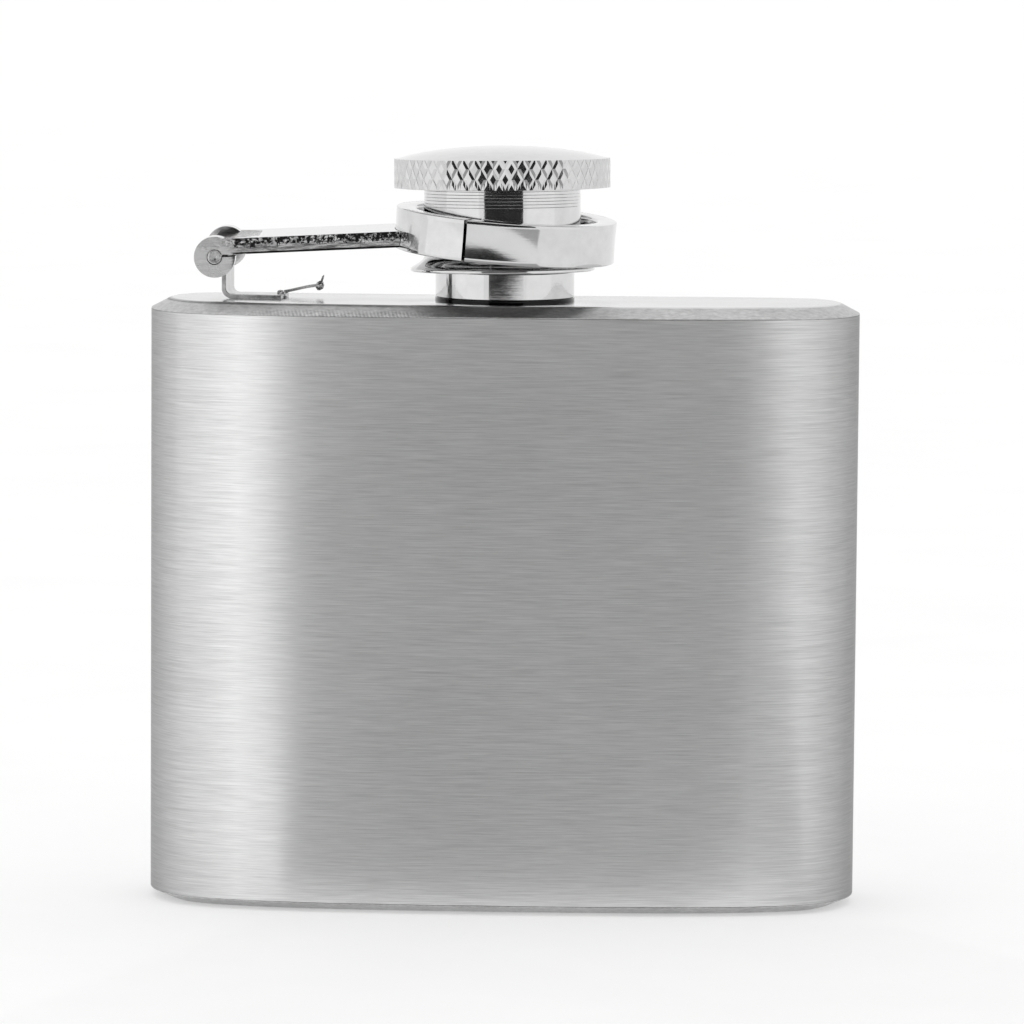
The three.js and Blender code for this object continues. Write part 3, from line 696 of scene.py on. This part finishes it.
pin = add("cylinder", "hinge_rivet", vertices=48, radius=PIN_RADIUS, depth=PIN_LENGTH,
          rotation=(pi / 2, 0, 0))
pick("FACE", lambda middle, face: abs(face.normal.y) > 0.9)
bpy.ops.mesh.inset(thickness=PIN_LIP, depth=0, use_individual=True)
bpy.ops.mesh.inset(thickness=0.3 * MM, depth=-PIN_DISH, use_individual=True)
soften(pin, PIN_EDGE, angle=50, segments=3)
seat(pin, HINGE_PLACE, HINGE_TURN)
smooth(pin)
rivet_steel = Finish("rivet_steel", Metallic=1.0)
pits = rivet_steel.grain((2500, 2500, 2500), Detail=3.0)
rivet_steel.grey(rivet_steel.spread(pits, 0.5, 0.78))
rivet_steel.rough(rivet_steel.spread(pits, 0.15, 0.4))
rivet_steel.relief((pits, 0.03 * MM))
pin.data.materials.append(rivet_steel.material)
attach(pin, "arm")
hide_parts("hinge_pin")

# ---- Hinge bracket -------------------------------------------------------------------------------
# A strip of 0.45 mm stainless: a foot spot-welded to the top plate, a bend, an upright leg, and
# an eye rolled round the pin. The foot and the leg are twisted a little out of line, and a thin
# torn tail springs up from the foot.
SHEET = 0.45 * MM
BRACKET_WIDTH = 4 * MM
LEG_X = 1.045 * MM
BEND = 0.825 * MM
FOOT_Z = SHEET / 2 - 4.42 * MM
FOOT_END = 6.87 * MM
EYE_START = 0.9 * MM
TWIST_BELOW = -0.8 * MM
TWIST = radians(7.5)
STRAP_EDGE = 0.06 * MM
TAIL_EDGE = 0.05 * MM
TAIL_LENGTH = 3.9 * MM
TAIL_WIDTH = 0.6 * MM
TAIL_THICKNESS = 0.3 * MM
TAIL_LIFT = 0.8 * MM

bracket = add("plane", "hinge_strap", size=1, location=((LEG_X + BEND + FOOT_END) / 2, 0, FOOT_Z),
              scale=(FOOT_END - LEG_X - BEND, BRACKET_WIDTH, 1))
pick("EDGE", lambda middle, edge: middle.x < LEG_X + BEND + 0.01 * MM)
bpy.ops.mesh.spin(steps=10, angle=-pi / 2, center=(LEG_X + BEND, 0, FOOT_Z + BEND), axis=(0, 1, 0))
bpy.ops.mesh.extrude_region_move(
    TRANSFORM_OT_translate={"value": (0, 0, -FOOT_Z - BEND - EYE_START)})
bpy.ops.mesh.extrude_region_move(TRANSFORM_OT_translate={"value": (0, 0, EYE_START)})
bpy.ops.mesh.spin(steps=40, angle=radians(290), center=(0, 0, 0), axis=(0, 1, 0))
apply(bracket, "SOLIDIFY", thickness=SHEET, offset=0, use_even_offset=True)
bpy.ops.object.mode_set(mode="EDIT")
close_mesh()
soften(bracket, STRAP_EDGE, angle=50)
bpy.ops.object.mode_set(mode="EDIT")
pick("VERT", lambda place, corner: place.z < TWIST_BELOW)
bpy.ops.transform.rotate(value=TWIST, orient_axis="Z", center_override=(0, 0, 0))
seat(bracket, HINGE_PLACE)

tail = add("cube", "strap_tail", size=1, location=(TAIL_LENGTH / 2, 0, 0),
           scale=(TAIL_LENGTH, TAIL_WIDTH, TAIL_THICKNESS))
pick("EDGE", lambda middle, edge: abs(edge.verts[0].co.x - edge.verts[1].co.x) > MM)
bpy.ops.mesh.subdivide(number_cuts=9)
pick("VERT", lambda place, corner: place.x > TAIL_LENGTH - 0.1 * MM)
bpy.ops.transform.translate(
    value=(0, 0, TAIL_LIFT), use_proportional_edit=True,
    proportional_edit_falloff="SMOOTH", proportional_size=5 * MM)
soften(tail, TAIL_EDGE)
seat(tail, (-22.2 * MM, 1.2 * MM, TOP + 0.45 * MM), (0, 0, -TWIST))

burrs = []
for name, spot, size in (("burr", (-18.6, 0.75, 1.2), (0.42, 0.4, 0.5)),
                         ("spur", (-18.35, 0.7, 1.85), (0.1, 0.1, 0.45)),
                         ("weld_bead", (-22.4, -0.3, 0.5), (0.42, 0.5, 0.3)),
                         ("weld_drop", (-22.1, -0.9, 0.2), (0.3, 0.3, 0.2))):
    burr = add("ico_sphere", name, subdivisions=3, radius=1,
               scale=[side * MM for side in size])
    bpy.ops.mesh.select_all(action="SELECT")
    bpy.ops.transform.vertex_random(offset=0.07 * MM, seed=7)
    seat(burr, (spot[0] * MM, spot[1] * MM, TOP + spot[2] * MM), (0, radians(20), 0))
    burrs.append(burr)
join(bracket, tail, *burrs)
smooth(bracket, 12)

strap_steel = Finish("strap_steel", Metallic=1.0)
rub = strap_steel.grain((800, 800, 800), Detail=3.0)
strap_steel.grey(strap_steel.spread(rub, 0.42, 0.62))
strap_steel.rough(strap_steel.spread(rub, 0.12, 0.3))
strap_steel.relief((rub, 0.006 * MM))
bracket.data.materials.append(strap_steel.material)
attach(bracket, "flask")
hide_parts("hinge_bracket")

# ---- Studio --------------------------------------------------------------------------------------
# A plain white floor under an even white sky, with a faint soft light on each side. A dark card in
# front and a grey mat on the floor show only in the steel, so that the middle of its front stays
# grey. The lens is long and looks down a little.
FLOOR_SIZE = 30
FLOOR_DROP = 0.02 * MM
CARD_PLACE = (0.0285, -0.34, 0.183)
CARD_SIZE = (0.367, 0.30, 1)
CARD_TURN = 0.04
CARD_CORNER_LIFT = 0.008
MAT_PLACE = (0.05, -0.172, 0.0002)
MAT_SIZE = (0.37, 0.316, 1)
MAT_NARROWING = 0.17


def matt(name, low, high, **surface):
    """A dull surface with a faint mottle between two greys."""
    finish = Finish(name, Roughness=0.9, **surface)
    finish.grey(finish.spread(finish.grain((30, 30, 30)), low, high))
    return finish.material


def steel_only(screen):
    """Let a screen show in the steel and nowhere else."""
    screen.visible_camera = False
    screen.visible_diffuse = False
    screen.visible_shadow = False


floor = add("plane", "floor", size=FLOOR_SIZE, location=(0, 0, -FLOOR_DROP))
bpy.ops.object.mode_set(mode="OBJECT")
floor.data.materials.append(matt("white_paper", 0.59, 0.61, Emission_Color=(1, 1, 1, 1),
                                 Emission_Strength=0.37))

card = add("plane", "dark_card", size=1, location=CARD_PLACE, rotation=(pi / 2, 0, CARD_TURN),
           scale=CARD_SIZE)
pick("VERT", lambda place, corner: place.z < 0.1 and place.x > 0)
bpy.ops.transform.translate(value=(0, 0, CARD_CORNER_LIFT))
bpy.ops.object.mode_set(mode="OBJECT")
card.data.materials.append(matt("black_card", 0.01, 0.02))
steel_only(card)

mat = add("plane", "grey_mat", size=1, location=MAT_PLACE, scale=MAT_SIZE)
pick("VERT", lambda place, corner: place.y > -0.1)
bpy.ops.transform.resize(value=(MAT_NARROWING, 1, 1), center_override=(0, 0, 0))
bpy.ops.object.mode_set(mode="OBJECT")
mat.data.materials.append(matt("grey_mat", 0.42, 0.46))
steel_only(mat)

world = bpy.data.worlds.new("studio")
bpy.context.scene.world = world
world.use_nodes = True
world.node_tree.nodes["Background"].inputs["Color"].default_value = (1, 1, 1, 1)
world.node_tree.nodes["Background"].inputs["Strength"].default_value = 1.0


def soft_light(name, place, side, power):
    """A square soft light turned towards the flask's upper part."""
    lamp = bpy.data.lights.new(name, "AREA")
    lamp.shape = "RECTANGLE"
    lamp.size = lamp.size_y = side
    lamp.energy = power
    lamp_object = bpy.data.objects.new(name, lamp)
    bpy.context.scene.collection.objects.link(lamp_object)
    lamp_object.location = place
    aim = Vector((0, 0, 0.05)) - Vector(place)
    lamp_object.rotation_euler = aim.to_track_quat("-Z", "Y").to_euler()
    lamp_object.visible_camera = False


soft_light("left_softbox", (-0.52, -0.30, 0.25), 0.7, 0.25)
soft_light("right_softbox", (0.55, -0.30, 0.25), 0.6, 0.1)

# The camera stands a little to the right and above, and is panned, pitched and rolled.
CAMERA_SWING = 0.0394
CAMERA_DISTANCE = 0.6259
CAMERA_RISE = 0.10348
CAMERA_PAN = -0.0014
CAMERA_PITCH = 0.1024
CAMERA_ROLL = 0.0074

camera = bpy.data.objects.new("camera", bpy.data.cameras.new("camera"))
bpy.context.scene.collection.objects.link(camera)
camera.data.lens = 220.3
camera.data.sensor_width = 36
camera.data.clip_start = 0.02
camera.data.clip_end = 100
yaw = CAMERA_SWING + CAMERA_PAN
ahead = Vector((-sin(yaw) * cos(CAMERA_PITCH), cos(yaw) * cos(CAMERA_PITCH), -sin(CAMERA_PITCH)))
level = Vector((cos(yaw), sin(yaw), 0))
above = level.cross(ahead)
right = level * cos(CAMERA_ROLL) + above * sin(CAMERA_ROLL)
upright = above * cos(CAMERA_ROLL) - level * sin(CAMERA_ROLL)
camera.matrix_world = Matrix.Translation(
    (sin(CAMERA_SWING) * CAMERA_DISTANCE, -cos(CAMERA_SWING) * CAMERA_DISTANCE, CAMERA_RISE)
    ) @ Matrix((right, upright, -ahead)).transposed().to_4x4()
bpy.context.scene.camera = camera
bpy.context.scene.view_settings.view_transform = "Standard"
